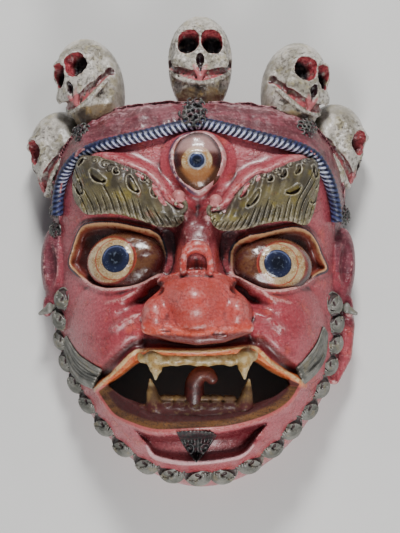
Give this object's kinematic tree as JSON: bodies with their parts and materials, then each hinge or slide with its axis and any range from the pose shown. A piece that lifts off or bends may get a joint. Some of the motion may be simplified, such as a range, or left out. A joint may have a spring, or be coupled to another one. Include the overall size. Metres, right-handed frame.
{
  "type": "tibetan cham mask",
  "caption": "Carved and painted wooden dance mask of a wrathful protector: three eyes, heavy brows, open fanged mouth, curled tongue, beard, and a crown of skulls.",
  "frame": {"origin": "on the plane that the back rim lies on, under the middle of the whole mask's bounding box", "axes": "+X across the face to the viewer's right, +Y from chin to crown, +Z out of the face, away from the surface that the mask lies on"},
  "size_m": [0.3321, 0.4547, 0.1756],
  "materials": {
    "painted_face": "deep red glossy paint over carved wood, worn and grimy in its hollows, with orange, gold, ivory, black and blue details",
    "painted_bone": "bone-coloured paint over carved wood, crazed, with grey grime, and red in its hollows"
  },
  "bodies": {
    "root": {"mask": "painted_face", "skull_middle": "painted_bone", "skull_inner_left": "painted_bone", "skull_inner_right": "painted_bone", "skull_outer_left": "painted_bone", "skull_outer_right": "painted_bone"}
  },
  "joints": []
}
